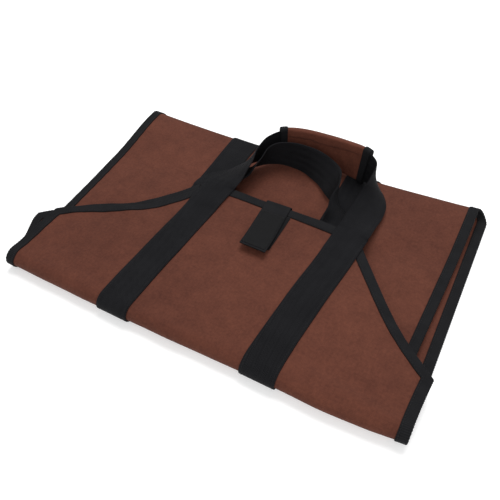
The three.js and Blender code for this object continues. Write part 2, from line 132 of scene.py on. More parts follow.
# The back flap's left corner is pushed out past the front flap's edge, and back towards the fold
corner_push = {"out": 0.34, "long": 0.17, "wide": 0.5, "shift": -0.012, "pull": 0.07}

# Large dents and lifts of both flaps, as shares: place across and out from the fold, spread, lift, pull
flap_folds = named("across out wide long lift pull", [
    (-0.34, 1.05, 0.30, 0.30, 0.30, 0.00),
    (-0.62, 0.78, 0.32, 0.36, -0.06, 0.10),
    (-1.05, 0.36, 0.34, 0.34, 0.12, 0.00),
    (0.33, 1.06, 0.26, 0.18, 0.42, 0.00),
    (0.66, 0.75, 0.30, 0.36, 0.00, 0.03),
    (0.90, 0.52, 0.26, 0.22, -0.06, 0.035),
])

# The handle loops from the left hem to the right: across, out, up and stand, as shares
loop_columns = "across out up stand"
front_loop = named(loop_columns, [
    (-0.95, 0.17, 0.20, 0.15),
    (-0.88, 0.36, 0.38, 0.40),
    (-0.82, 0.56, 0.46, 0.74),
    (-0.73, 0.74, 0.48, 0.95),
    (-0.60, 0.90, 0.47, 1.00),
    (-0.34, 0.985, 0.47, 1.00),
    (0.00, 1.00, 0.48, 1.02),
    (0.35, 0.98, 0.49, 1.07),
    (0.67, 0.925, 0.52, 1.12),
    (0.85, 0.84, 0.51, 1.08),
    (0.98, 0.70, 0.40, 0.66),
    (1.02, 0.48, 0.14, 0.26),
    (1.00, 0.24, 0.08, 0.06),
])
back_loop = named(loop_columns, [
    (-0.96, 0.18, -0.07, 0.04),
    (-0.82, 0.33, -0.04, 0.12),
    (-0.64, 0.46, 0.04, 0.26),
    (-0.53, 0.60, 0.24, 0.60),
    (-0.47, 0.75, 0.33, 0.78),
    (-0.32, 0.88, 0.35, 0.92),
    (-0.02, 0.95, 0.30, 1.06),
    (0.33, 0.86, 0.31, 1.26),
    (0.60, 0.69, 0.33, 1.34),
    (0.76, 0.49, 0.33, 1.10),
    (0.86, 0.31, 0.20, 0.60),
    (0.96, 0.17, -0.02, 0.14),
])

# %% Levels and lengths of the folded stack
half_width = sheet_width / 2
half_canvas = canvas_thickness / 2
base_level = webbing_thickness + seam_gap + half_canvas
back_base_level = base_level + canvas_thickness + log_gap
outer_radius = near_fold_height / 2
front_flap_level = base_level + 2 * outer_radius
back_flap_level = front_flap_level - flap_spacing
inner_radius = (back_flap_level - back_base_level) / 2
far_radius = far_fold_height / 2
far_centre = package_depth - far_radius
inner_centre = inner_fold_setback + inner_radius
folds_run = math.pi * (outer_radius + far_radius + inner_radius)
bases_run = 2 * far_centre - outer_radius - inner_centre
hem_y = (sheet_length - folds_run - bases_run + outer_radius + inner_centre) / 2
front_run = hem_y - outer_radius
back_run = hem_y - inner_centre

stretches = named("name run from to lifted", [
    ("front_flap", front_run, "front_hem", "near_fold", True),
    ("near_fold", math.pi * outer_radius, "near_fold", "base", False),
    ("base", far_centre - outer_radius, "base", "base", False),
    ("far_fold", math.pi * far_radius, "base", "far_fold_top", False),
    ("back_base", far_centre - inner_centre, "far_fold_top", "inner_fold", False),
    ("inner_fold", math.pi * inner_radius, "inner_fold", "inner_fold", False),
    ("back_flap", back_run, "inner_fold", "back_hem", True),
])
travelled = 0
for stretch in stretches:
    stretch["start"] = travelled
    travelled += stretch["run"]
path_length = travelled
start_of = {stretch["name"]: stretch["start"] for stretch in stretches}
print("hems at", round(hem_y, 1), "mm, path", round(path_length, 1), "mm")


# %% Small functions for easing and bumps
def smooth(x):
    t = np.clip(x, 0, 1)
    return t * t * (3 - 2 * t)


def mix(a, b, t):
    return a + (b - a) * t


def bump(distance, spread):
    return np.exp(-((distance / spread) ** 2))


def unit(vectors):
    return vectors / np.linalg.norm(vectors, axis=-1, keepdims=True)


def arc_point(y, z, radius, turn):
    return y - radius * np.sin(turn), z - radius * np.cos(turn)


# %% The fold map
def path_point(name, t, middle):
    """y and z of the folded path at a share t of one stretch; middle is 1 midway across, 0 at the sides."""
    radius = far_radius - middle * far_fold_dip / 2
    if name == "front_flap":
        return hem_y - front_run * t, front_flap_level + 0 * t
    if name == "near_fold":
        return arc_point(outer_radius, base_level + outer_radius, outer_radius, math.pi * (1 - t))
    if name == "base":
        return mix(outer_radius, far_centre, t), base_level + 0 * t
    if name == "far_fold":
        return arc_point(far_centre + far_radius - radius, base_level + radius, radius, -math.pi * t)
    if name == "back_base":
        y = mix(far_centre + far_radius - radius, inner_centre, t)
        rise = smooth((y - hem_y) / (far_centre - hem_y))
        return y, mix(back_base_level, base_level + 2 * radius, rise)
    if name == "inner_fold":
        return arc_point(inner_centre, back_base_level + inner_radius, inner_radius, math.pi * t)
    return inner_centre + back_run * t, back_flap_level + 0 * t


def flap_shape(x, y):
    out = (y - outer_radius) / front_run
    lift = 0
    pull = 0
    for fold in flap_folds:
        share = bump(x / half_width - fold["across"], fold["wide"]) * bump(out - fold["out"], fold["long"])
        lift = lift + fold["lift"] * share
        pull = pull + fold["pull"] * share
    free = smooth(out / free_run)
    return near_fold_height * lift * free, front_run * pull * free


def middle_face(s, u):
    """Points of the canvas's middle face, in millimetres, for arrays of flat places."""
    s, u = np.broadcast_arrays(np.asarray(s, float), np.asarray(u, float))
    points = np.zeros(s.shape + (3,))
    starts = np.array([stretch["start"] for stretch in stretches])
    which = np.clip(np.searchsorted(starts, s, side="left") - 1, 0, len(stretches) - 1)
    for number, stretch in enumerate(stretches):
        here = which == number
        if not here.any():
            continue
        t = (s[here] - stretch["start"]) / stretch["run"]
        across = u[here]
        middle = 1 - (across / half_width) ** 2
        y, z = path_point(stretch["name"], t, middle)
        a = lay[stretch["from"]]
        b = lay[stretch["to"]]
        lift = 0
        pull = 0
        slant = 0
        push = 0
        bow = middle * mix(near_fold_bow, far_fold_bow, smooth(y / package_depth))
        if stretch["lifted"]:
            inner, hem = (b, a) if stretch["name"] == "front_flap" else (a, b)
            out = 1 - t if stretch["name"] == "front_flap" else t
            side = mix(inner["side"], hem["side"], np.clip(out, 0, None) ** slide_power)
            slant = hem["slant"] * smooth(out / slant_run)
            gather = mix(a["gather"], b["gather"], smooth(t / gather_run))
        else:
            side = mix(a["side"], b["side"], smooth(t))
            gather = mix(a["gather"], b["gather"], smooth(t))
        if stretch["name"] == "back_flap":
            push = bump(t - corner_push["out"], corner_push["long"])
            push = push * bump(across / half_width + 1, corner_push["wide"])
        drift = mix(a["drift"], b["drift"], smooth(t)) * bump(across / half_width - drift_across, drift_wide)
        x = across * (1 - gather) + (side + drift + push * corner_push["shift"]) * sheet_width
        y = y - slant * across - bow - push * corner_push["pull"] * back_run
        if stretch["lifted"]:
            lift, pull = flap_shape(x, y)
        points[here] = np.stack([x, y - pull, z + lift], axis=-1)
    return points


# %% [markdown]
# Real canvas is never quite flat: it keeps soft waves from the roll and puckers beside each sewn edge.
# These could be a bump texture, but then the outline and the tape would stay straight. Here they are a
# small height on the fold map, so everything that is sewn to the canvas rises and falls with it.

# %% Soft waves and puckers
waves = np.random.RandomState(11)
wave_count = 16
wave_shortest = 46
wave_longest = 120
wave_height = 0.28
wave_angle = waves.uniform(0, math.pi, wave_count)
wave_size = waves.uniform(wave_shortest, wave_longest, wave_count)
wave_phase = waves.uniform(0, 2 * math.pi, wave_count)

# Single soft folds in plan: middle x and y, half length, half width, direction in degrees, height, in mm
creases = named("x y long wide angle height", [
    (-152, 118, 34, 9, 4, 1.9),
    (-146, 137, 30, 6, 8, -0.9),
    (-150, 84, 60, 13, 28, 0.7),
    (-196, 70, 30, 9, 60, -0.9),
    (-30, 60, 60, 16, -20, 0.7),
    (-128, 30, 34, 12, 12, 0.8),
    (150, 52, 60, 14, 18, 0.8),
    (176, 96, 50, 11, 62, -0.6),
    (60, 170, 40, 10, -35, 0.6),
    (132, 226, 46, 9, 52, 1.6),
    (152, 214, 46, 9, 50, -1.2),
    (176, 190, 44, 9, 30, 1.2),
    (196, 262, 40, 11, 75, 0.8),
    (-150, 240, 60, 15, -30, 0.9),
    (-60, 282, 50, 12, 8, 0.7),
    (172, 11, 56, 5, -5, 1.9),
    (168, 24, 50, 8, -6, -0.9),
    (40, 8, 44, 6, 5, 0.8),
    (-150, 10, 40, 7, 4, 1.1),
    (-196, 20, 40, 8, 18, 0.9),
])
pucker_pitch = 17.0
pucker_reach = 13.0
pucker_height = 0.22

# Lengths in mm over which the waves fade in and out at the three folds, and their share on the back base
# and round the near fold
near_delay = 6
near_fade = 16
far_fade = 24
inner_fade = 40
back_share = 0.8
edge_wave = {"place": 0.7, "long": 9, "share": 0.5}

# The near fold rolls outward a little along its whole length, and most between the right strap and
# the corner. place: share of the fold's arc above the table. roll, height and long are in mm.
sag_fade = 5
near_sag = {"across": 0.74, "wide": 0.28, "place": 0.5, "long": 7, "roll": 1.2, "height": 4.4}


def soft_height(x, y):
    height = 0
    for angle, size, phase in zip(wave_angle, wave_size, wave_phase):
        height = height + np.sin(2 * math.pi * (x * math.cos(angle) + y * math.sin(angle)) / size + phase)
    height = height * wave_height / math.sqrt(wave_count / 2)
    for fold in creases:
        angle = math.radians(fold["angle"])
        along = (x - fold["x"]) * math.cos(angle) + (y - fold["y"]) * math.sin(angle)
        side = (y - fold["y"]) * math.cos(angle) - (x - fold["x"]) * math.sin(angle)
        height = height + fold["height"] * bump(along, fold["long"]) * bump(side, fold["wide"])
    return height


def half_width_at(s):
    from_hem = np.minimum(s, path_length - s)
    return mix(hem_width / 2, half_width, np.clip(from_hem / taper_length, 0, 1))


def relief(s, u, points):
    """Height of the waves, the puckers and the near fold's roll along the outer side of the sheet."""
    height = soft_height(points[..., 0], points[..., 1])
    edge = half_width_at(s) - np.abs(u)
    pucker = bump(edge - binding_width, pucker_reach) * np.sin(2 * math.pi * s / pucker_pitch + np.sign(u))
    height = height + pucker_height * pucker
    base_start = start_of["base"]
    fold_run = base_start - start_of["near_fold"]
    front = 1 - smooth((s - start_of["near_fold"] - near_delay) / near_fade)
    back_base = smooth((s - start_of["back_base"] + far_fade / 2) / far_fade)
    back_base = back_base * (1 - smooth((s - start_of["inner_fold"] + inner_fade) / inner_fade))
    back_flap = smooth((s - start_of["back_flap"]) / inner_fade)
    near_edge = bump(s - base_start + fold_run * edge_wave["place"], edge_wave["long"]) * edge_wave["share"]
    sag_s = base_start - fold_run * near_sag["place"]
    sag = near_sag["roll"] + near_sag["height"] * bump(u / half_width - near_sag["across"], near_sag["wide"])
    sag = sag * bump(s - sag_s, near_sag["long"]) * smooth((base_start - s) / sag_fade)
    return height * (front + back_share * back_base - back_flap + near_edge) + sag


probe = 0.5


def on_sheet(s, u, n):
    """Points n millimetres off the canvas's middle face, along its outer side."""
    along = middle_face(s + probe, u) - middle_face(s - probe, u)
    across = middle_face(s, u + probe) - middle_face(s, u - probe)
    normal = unit(np.cross(along, across))
    points = middle_face(s, u)
    lift = n + relief(np.asarray(s, float), np.asarray(u, float), points)
    return points + normal * np.asarray(lift)[..., None]


def along_path(step, fold_step, extra=()):
    """Places along the sheet: finer round the folds, and with the named places among them."""
    places = []
    for stretch in stretches:
        gap = fold_step if stretch["name"].endswith("fold") else step
        count = max(int(math.ceil(stretch["run"] / gap)), 2)
        places.extend(stretch["start"] + stretch["run"] * np.arange(count) / count)
    places.append(path_length)
    return np.unique(np.concatenate([np.array(places), np.array(list(extra), float)]))


# %% [markdown]
# All soft pieces here are sweeps: a closed ring of points that is carried along a path. One function
# makes the mesh and its UV map in millimetres, so that weaves have the same scale on every piece.

# %% Sweep a ring into a closed mesh
def sweep(name, rings, along, across=None):
    """rings is rows x points x 3 in mm. The UV map, in mm too, is along, one value a row, and across, which
    is the distance round each ring where none is given."""
    rows, count, _ = rings.shape
    across = np.broadcast_to(ring_lengths(rings) if across is None else across, (rows, count + 1))
    along = np.broadcast_to(along[:, None], across.shape)
    points = (rings.reshape(-1, 3) - origin_shift) * millimetre
    faces = []
    corners = []
    for i in range(rows - 1):
        low = i * count
        for k in range(count):
            after = (k + 1) % count
            faces.append((low + k, low + after, low + count + after, low + count + k))
            corners.extend(((i, k), (i, k + 1), (i + 1, k + 1), (i + 1, k)))
    for i in (0, rows - 1):
        faces.append(tuple(i * count + k for k in range(count)))
        corners.extend((i, k) for k in range(count))
    mesh = bpy.data.meshes.new(name)
    mesh.from_pydata([tuple(p) for p in points], [], faces)
    corners = np.array(corners)
    uv = np.stack([across[corners[:, 0], corners[:, 1]], along[corners[:, 0], corners[:, 1]]], axis=-1)
    layer = mesh.uv_layers.new(name="cloth")
    layer.data.foreach_set("uv", (uv * millimetre).ravel())
    mesh.polygons.foreach_set("use_smooth", [True] * len(mesh.polygons))
    work = bmesh.new()
    work.from_mesh(mesh)
    bmesh.ops.recalc_face_normals(work, faces=work.faces)
    work.to_mesh(mesh)
    work.free()
    piece = show(name, mesh)
    print(name, "points", len(points), "faces", len(faces))
    return piece


def ring_lengths(rings):
    """Distance round each ring, with the closing step."""
    closed = np.concatenate([rings, rings[:, :1]], axis=1)
    steps = np.linalg.norm(np.diff(closed, axis=1), axis=-1)
    return np.concatenate([np.zeros((len(rings), 1)), np.cumsum(steps, axis=1)], axis=1)


def row_lengths(middles):
    steps = np.linalg.norm(np.diff(middles, axis=0), axis=-1)
    return np.concatenate([[0], np.cumsum(steps)])


# %% [markdown]
# The canvas is the carrier itself. It is cut as a long octagon, so its two ends narrow to the handles.
# It is built as one closed wall of cloth with the waves in it, all the way round its three folds.

# %% Canvas sheet
canvas_step = 3.6
fold_step = 1.8
canvas_columns = 104


def canvas_piece():
    s = along_path(canvas_step, fold_step, (taper_length, path_length - taper_length))
    share = np.linspace(-1, 1, canvas_columns)
    u = half_width_at(s)[:, None] * share[None, :]
    grid = np.broadcast_to(s[:, None], u.shape)
    outer = on_sheet(grid, u, half_canvas)
    inner = on_sheet(grid, u, -half_canvas)
    rings = np.concatenate([outer, inner[:, ::-1]], axis=1)
    across = np.concatenate([u, u[:, ::-1], u[:, :1]], axis=1)
    return sweep("canvas_cloth", rings, s, across)


canvas = canvas_piece()


# %% [markdown]
# The edges are bound: a woven tape is folded over the raw edge and sewn through. Its cross section is a
# narrow U. The tape is ribbed across, and the ribs show as small teeth along the fold, so the fold's
# outline carries them in the mesh and its flat sides have them as bump.

# %% Folded binding tape
diagonal_angle = math.atan2(half_width - hem_width / 2, taper_length)
rib_pitch = 3.0
rib_height = 0.22
rib_marks = ((5.5, 0.1), (1.5, 0.4))
rib_out = 0.8
rib_swell = 0.25
tape_clearance = 0.08
selvedge_width = 0.5
selvedge_drop = 0.35
tape_step = 0.75
hem_columns = 240
helper = 16.0
side_mitre = (math.tan(diagonal_angle / 2), -1.0)
hem_mitre = (1.0, -math.tan((math.pi / 2 - diagonal_angle) / 2))
diagonal_inward = (math.sin(diagonal_angle), -math.cos(diagonal_angle))


def tape_section():
    """The U of the tape: distance inside the edge, height off the canvas, and share of the fold's rib."""
    near = half_canvas + tape_clearance
    depth = seam_gap + binding_thickness
    far = half_canvas + depth
    edge = [(binding_width, far - selvedge_drop, 0), (binding_width - selvedge_width, far, 0)]
    edge += [(inside, far, rib) for inside, rib in rib_marks]
    turns = [math.pi * step / 8 for step in range(9)]
    fold = [(-depth * math.sin(turn), far * math.cos(turn), 1) for turn in turns]
    half = [(-0.25, near / 2, 0), (0.05, near, 0), (binding_width / 2, near, 0), (binding_width, near, 0)]
    outer = edge + fold + [(inside, -height, rib) for inside, height, rib in reversed(edge)]
    inner = [(inside, -height, rib) for inside, height, rib in reversed(half)] + half
    return np.array(outer + inner)


section = tape_section()


def binding(name, s_edge, u_edge, s_in, u_in):
    """Tape along an edge, given as flat places and the inward step at each place."""
    length = row_lengths(np.stack([s_edge, u_edge], axis=-1))
    rib = rib_height * np.cos(2 * math.pi * length / rib_pitch)[:, None] * section[None, :, 2]
    inside = section[None, :, 0] - rib_out * rib
    height = section[None, :, 1] * (1 + rib_swell * rib)
    s = s_edge[:, None] + s_in[:, None] * inside
    u = u_edge[:, None] + u_in[:, None] * inside
    return sweep(name, on_sheet(s, u, height), length)


def side_stations(hand):
    """Flat edge from hem to hem with the inward step, which turns only close to the corners."""
    end = path_length
    reach = helper * math.cos(diagonal_angle)
    plain = (0.0, -1.0)
    rows = [
        (0, hem_mitre),
        (reach, diagonal_inward),
        (taper_length - reach, diagonal_inward),
        (taper_length, side_mitre),
        (taper_length + helper, plain),
    ]
    back = [(end - s, (-step[0], step[1])) for s, step in reversed(rows)]
    rows = rows + back
    places = np.array([row[0] for row in rows])
    steps = np.array([row[1] for row in rows])
    fine = along_path(tape_step, tape_step, places)
    s_in = np.interp(fine, places, steps[:, 0])
    u_in = np.interp(fine, places, steps[:, 1])
    return fine, hand * half_width_at(fine), s_in, hand * u_in


def hem_stations(at_back):
    corner = hem_width / 2 - 2 * seam_gap
    places = np.array([-corner, helper - corner, corner - helper, corner])
    mitre = np.array([-hem_mitre[1], 0, 0, hem_mitre[1]])
    u = np.unique(np.concatenate([np.linspace(-corner, corner, hem_columns), places]))
    sign = -1.0 if at_back else 1.0
    s = np.full_like(u, path_length if at_back else 0.0)
    return s, u, np.full_like(u, sign), np.interp(u, places, mitre)


binding_left = binding("binding_tape_left", *side_stations(-1))
binding_right = binding("binding_tape_right", *side_stations(1))
hem_front = binding("hem_tape_front", *hem_stations(False))
hem_back = binding("hem_tape_back", *hem_stations(True))

# %% [markdown]
# The webbing is sewn to the canvas's outer side up to each hem. From there it is free and makes a handle:
# it leaves flat, turns on its edge and comes back down on the other side. The loop is a smooth curve
# through the frame's handle points, with a turn about its own length that grows and fades with it.


# %% Handle frames
def strap_landing():
    strap_outer = strap_spacing / 2 + webbing_width / 2
    cover = strap_outer - hem_width / 2 + binding_width / math.cos(diagonal_angle)
    hem_cover = max(cover / math.tan(diagonal_angle), binding_width) + 2
    return hem_cover, hem_cover + 10


hem_cover, landing = strap_landing()


def strap_stand_off(s):
    from_hem = np.minimum(s, path_length - s)
    landed = smooth((from_hem - hem_cover) / (landing - hem_cover))
    return half_canvas + seam_gap + (binding_thickness + seam_gap) * (1 - landed)


def spline_point(points, share):
    """Centripetal curve through the points, at a share of its run of points."""
    last = len(points) - 1
    place = share * last
    i = min(int(place), last - 1)
    t = place - i
    p1 = points[i]
    p2 = points[i + 1]
    p0 = points[i - 1] if i > 0 else 2 * points[0] - points[1]
    p3 = points[i + 2] if i + 2 <= last else 2 * points[last] - points[last - 1]
    d0 = np.linalg.norm(p1 - p0) ** 0.5
    d1 = np.linalg.norm(p2 - p1) ** 0.5
    d2 = np.linalg.norm(p3 - p2) ** 0.5
    t1 = ((p1 - p0) / d0 - (p2 - p0) / (d0 + d1) + (p2 - p1) / d1) * d1
    t2 = ((p2 - p1) / d1 - (p3 - p1) / (d1 + d2) + (p3 - p2) / d2) * d1
    c2 = -3 * p1 + 3 * p2 - 2 * t1 - t2
    c3 = 2 * p1 - 2 * p2 + t1 + t2
    return p1 + t1 * t + c2 * t * t + c3 * t ** 3


def soften(rows, lengths, spread):
    """Rows averaged with their neighbours along the loop; the two ends keep their place."""
    weight = np.exp(-(((lengths[:, None] - lengths[None, :]) / spread) ** 2))
    weight = weight / weight.sum(axis=1, keepdims=True)
    softened = weight @ rows
    keep = 1 - smooth(np.minimum(lengths, lengths[-1] - lengths) / (3 * spread))
    return rows * keep[:, None] + softened * (1 - keep[:, None])


loop_steps = 420
hem_probe = 4
loop_lead = webbing_width / 5
centre_soft = 6.0
stand_soft = 7.0
tangent_soft = 4.0


def loop_frames(hem_s, table, reach):
    outward = -1 if hem_s == 0 else 1
    stand_off = float(strap_stand_off(hem_s)) + webbing_thickness / 2
    left = on_sheet(hem_s, -strap_spacing / 2, stand_off)
    right = on_sheet(hem_s, strap_spacing / 2, stand_off)

    def leave(u):
        return unit(on_sheet(hem_s, u, stand_off) - on_sheet(hem_s - outward * hem_probe, u, stand_off))

    centre = (left + right) / 2
    points = [left, left + leave(-strap_spacing / 2) * loop_lead]
    stands = [0, 0]
    for row in table:
        x = centre[0] + row["across"] * strap_spacing / 2
        y = centre[1] + row["out"] * reach
        points.append(np.array([x, y, front_flap_level + row["up"] * webbing_width]))
        stands.append(row["stand"])
    points += [right + leave(strap_spacing / 2) * loop_lead, right]
    stands += [0, 0]
    last = len(points) - 1
    shares = np.linspace(0, 1, loop_steps)
    centres = np.array([spline_point(points, share) for share in shares])
    place = shares * last
    low = np.minimum(place.astype(int), last - 1)
    stand = np.array(stands)
    stand = mix(stand[low], stand[low + 1], smooth(place - low))
    lengths = row_lengths(centres)
    centres = soften(centres, lengths, centre_soft)
    stand = soften(stand[:, None], lengths, stand_soft)[:, 0]
    lengths = row_lengths(centres)
    tangent = unit(np.gradient(centres, lengths, axis=0))
    tangent = unit(soften(tangent, lengths, tangent_soft))
    level = unit(np.cross(tangent, np.array([0.0, 0.0, 1.0])))
    upright = np.cross(level, tangent)
    turn = (stand * math.pi / 2)[:, None]
    width_way = level * np.cos(turn) + upright * np.sin(turn)
    face_way = unit(np.cross(width_way, tangent))
    return {"length": lengths, "centre": centres, "width": width_way, "face": face_way}


def line_at(places, lengths, line):
    """Points of a line at some of its lengths."""
    return np.stack([np.interp(places, lengths, line[:, axis]) for axis in range(3)], axis=-1)


def on_loop(frames, places, across, out):
    """Points at places along a loop, across the band and out of its face, in mm."""
    keys = ("centre", "width", "face")
    centre, width, face = (line_at(places, frames["length"], frames[key])[:, None] for key in keys)
    return centre + unit(width) * across[..., None] + unit(face) * out[..., None]


front_frames = loop_frames(0, front_loop, front_handle_reach)
back_frames = loop_frames(path_length, back_loop, back_handle_reach)
print("handle loops", round(front_frames["length"][-1]), round(back_frames["length"][-1]), "mm")


# %% Webbing
def band_section(width, thickness, columns, turns=6):
    """Ring of a flat band: a level top and bottom with rounded sides."""
    half = width / 2
    deep = thickness / 2
    flat = np.linspace(deep - half, half - deep, columns)
    ring = [(a, deep) for a in flat]
    for step in range(1, turns):
        turn = math.pi / 2 - math.pi * step / turns
        ring.append((half - deep + deep * math.cos(turn), deep * math.sin(turn)))
    ring += [(a, -deep) for a in flat[::-1]]
    for step in range(1, turns):
        turn = -math.pi / 2 - math.pi * step / turns
        ring.append((deep - half + deep * math.cos(turn), deep * math.sin(turn)))
    return np.array(ring)


band_ring = band_section(webbing_width, webbing_thickness, 11)
cup_height = 0.5
strap_step = 3.0
loop_step = 1.6
seam_s = start_of["far_fold"] - webbing_seam_setback
cup_fade = 30
strap_fold_step = 1.5


def strap_rings(places, hand, turned_over):
    """Rings of one strap on the sheet. The side and the face both turn with the way that it is travelled."""
    across = -hand * band_ring[None, :, 0]
    height = band_ring[None, :, 1] * (-1 if turned_over else 1)
    s = places[:, None] + 0 * across
    u = hand * strap_spacing / 2 + across + 0 * s
    middle = strap_stand_off(s) + webbing_thickness / 2
    return on_sheet(s, u, middle + height)


def loop_rings(frames, lengths):
    """Rings of the band round a handle loop, cupped a little across."""
    cup = cup_height * (1 - (2 * band_ring[:, 0] / webbing_width) ** 2)
    fade = smooth(np.minimum(lengths, frames["length"][-1] - lengths) / cup_fade)[:, None]
    return on_loop(frames, lengths, band_ring[None, :, 0], band_ring[None, :, 1] + fade * cup[None, :])


def webbing(name, frames, front):
    seam_end = seam_s - seam_gap / 2 if front else seam_s + seam_gap / 2
    places = along_path(strap_step, strap_fold_step)
    kept = places[places < seam_end - 1] if front else places[places > seam_end + 1]
    to_hem = np.concatenate([[seam_end], kept[::-1]]) if front else np.concatenate([[seam_end], kept])
    lengths = np.arange(loop_step, frames["length"][-1] - loop_step / 2, loop_step)
    rings = np.concatenate([
        strap_rings(to_hem, -1, not front),
        loop_rings(frames, lengths),
        strap_rings(to_hem[::-1], 1, not front),
    ])
    return sweep(name, rings, row_lengths(rings.mean(axis=1)), ring_lengths(rings[:1]))


webbing_front = webbing("webbing_band_front", front_frames, True)
webbing_back = webbing("webbing_band_back", back_frames, False)

# %% [markdown]
# The grip is a piece of the same canvas, wrapped round the front handle and closed by a flap along its
# length. The flap's edge makes a small step below the top, and the wrap swells a little between its ends,
# where a tape holds it tight. It is a sweep too, with a rounded flat ring and soft folds across.

# %% Grip wrap and its bound ends
grip_start = (front_frames["length"][-1] - grip_length) / 2 + grip_shift
grip_turns = 8
flap_edge = 11.5
flap_step = 1.7
flap_waver = 0.8
flap_waver_turns = 9
flap_soft = 0.9
grip_folds = ((0.28, 46, 0.11), (0.2, 23, -0.2))
swell_run = 0.16
swell_height = 0.9
swell_width = 0.012
grip_rib_pitch = 2.4
grip_rib_height = 0.12
grip_edge_share = 0.55


def grip_piece():
    ring = band_section(grip_height, grip_thickness, 30, grip_turns)
    lengths = np.linspace(grip_start, grip_start + grip_length, 90)
    share = (lengths - grip_start) / grip_length
    swell = np.minimum(smooth(share / swell_run), smooth((1 - share) / swell_run))[:, None]
    a = ring[None, :, 0] + 0 * swell
    b = ring[None, :, 1] + 0 * swell
    crown = 1 - (a / (grip_height / 2)) ** 2
    near_side = (b < 0).astype(float)
    waver = flap_waver * np.sin(share[:, None] * flap_waver_turns)
    step = smooth((a - flap_edge - waver) / flap_soft) * near_side
    fold = sum(height * np.sin(share[:, None] * turns + a * lean) for height, turns, lean in grip_folds)
    proud = swell * (swell_height * crown + fold * crown + flap_step * step)
    b = b + np.sign(b) * proud
    a = a * (1 + swell_width * swell)
    return sweep("grip_canvas", on_loop(front_frames, lengths, a, b), lengths - grip_start)


def grip_end(name, at_right):
    reach = np.linspace(-grip_end_overhang, grip_end_width - grip_end_overhang, 26)
    lengths = grip_start + (grip_length - reach[::-1] if at_right else reach)
    height = grip_height + 2 * (seam_gap + grip_end_thickness)
    thickness = grip_thickness + 2 * (seam_gap + grip_end_thickness)
    wall = 2 * grip_end_thickness
    ring = band_section(height, thickness, 14, grip_turns)
    inner = band_section(grip_height - wall, grip_thickness - wall, 14, grip_turns)
    share = np.linspace(0, 1, len(lengths))
    rounded = np.sqrt(np.clip(1 - (2 * np.abs(share - 0.5)) ** 8, 0, 1))
    rib = grip_rib_height * np.cos(2 * math.pi * ring_lengths(ring[None])[:, :-1] / grip_rib_pitch)
    rib = rib[0][None, :] * rounded[:, None]
    shape = inner[None] + (ring - inner)[None] * mix(grip_edge_share, 1, rounded)[:, None, None]
    shape = shape + rib[..., None] * unit(ring - inner + 1e-9)[None]
    rings = on_loop(front_frames, lengths, shape[..., 0], shape[..., 1])
    return sweep(name, rings, lengths - lengths[0])


grip = grip_piece()
grip_left = grip_end("grip_tape_left", False)
grip_right = grip_end("grip_tape_right", True)

# %% [markdown]
# The tab is sewn under the back hem, comes round both hems and lies on the front flap, where its hooks
# meet a patch of loops. Its free end is doubled over and stands up a little, so a dark gap shows there.

# %% Closure tab
tab_rows = 19
tab_patch_rise = 4
tab_bend_steps = 14
tab_bend_fullness = 0.7
tab_step = 1.2
tab_soft = 1.6


def across_at(x, hem):
    return x - lay[hem]["side"] * sheet_width


def tab_line(x):
    stand_off = half_canvas + 2 * seam_gap + binding_thickness + tab_thickness / 2
    under = np.array([tab_tuck, tab_tuck * 2 / 3, tab_tuck / 3, 0])
    lower = on_sheet(path_length - under, across_at(x, "back_hem") + 0 * under, stand_off)
    share = np.linspace(0, 1, tab_rows)
    over_patch = patch_thickness * smooth(share * tab_patch_rise)
    skewed = x + tab_skew * tab_reach * share
    height = stand_off + over_patch + tab_lift * share ** 2
    upper = on_sheet(tab_reach * share, across_at(skewed, "front_hem"), height)
    bottom = lower[-1]
    top = upper[0]
    radius = (top[2] - bottom[2]) / 2
    hem_edge = max(bottom[1], top[1]) + binding_thickness + 2 * seam_gap
    turn = np.linspace(0, math.pi, tab_bend_steps)
    bend = np.stack([
        x + 0 * turn,
        hem_edge + radius * tab_bend_fullness * np.sin(turn),
        bottom[2] + radius * (1 - np.cos(turn)),
    ], axis=-1)
    lower[:, 0] = x
    upper[:, 0] = skewed
    return np.concatenate([lower, bend, upper])


def resample(line, step):
    lengths = row_lengths(line)
    places = np.linspace(0, lengths[-1], int(lengths[-1] / step))
    return soften(line_at(places, lengths, line), places, tab_soft)


def tab_layer(name, ring, line_start=0.0, line_end=1.0, thicken=None):
    """A band that follows the tab's line; its ring is across by height off the line."""
    columns = []
    for a in ring[:, 0]:
        line = resample(tab_line(tab_place + a), tab_step)
        first = int(line_start * (len(line) - 1))
        last = int(line_end * (len(line) - 1)) + 1
        columns.append(line[first:last])
    count = min(len(line) for line in columns)
    rings = np.stack([line[:count] for line in columns], axis=1)
    run = np.gradient(rings, axis=0)
    run[..., 0] = 0
    run = unit(run)
    face = np.stack([0 * run[..., 0], run[..., 2], -run[..., 1]], axis=-1)
    height = ring[None, :, 1] + np.zeros((count, 1))
    if thicken is not None:
        height = thicken(height, np.linspace(0, 1, count)[:, None])
    rings = rings + face * height[..., None]
    return sweep(name, rings, row_lengths(rings.mean(axis=1)), ring_lengths(rings[:1]))


def upper_tape(height, share):
    """The free end of the tape is turned back on itself, so it is thicker there."""
    doubled = smooth((share - doubled_from) / doubled_fade) * (height > 0)
    return height - tape_drop + doubled_height * doubled


tape_drop = 0.35
doubled_from = 0.91
doubled_fade = 0.012
doubled_height = 0.25
hook_thickness = 0.7
hook_lift = 0.62
tab_ring = band_section(tab_width, tab_thickness - 0.9, 11)
hook_ring = band_section(tab_width - 3, hook_thickness, 9)
tab = tab_layer("closure_tape", tab_ring, thicken=upper_tape)
hooks = tab_layer("closure_hooks", hook_ring, 0.52, 0.985, lambda height, share: height + hook_lift)


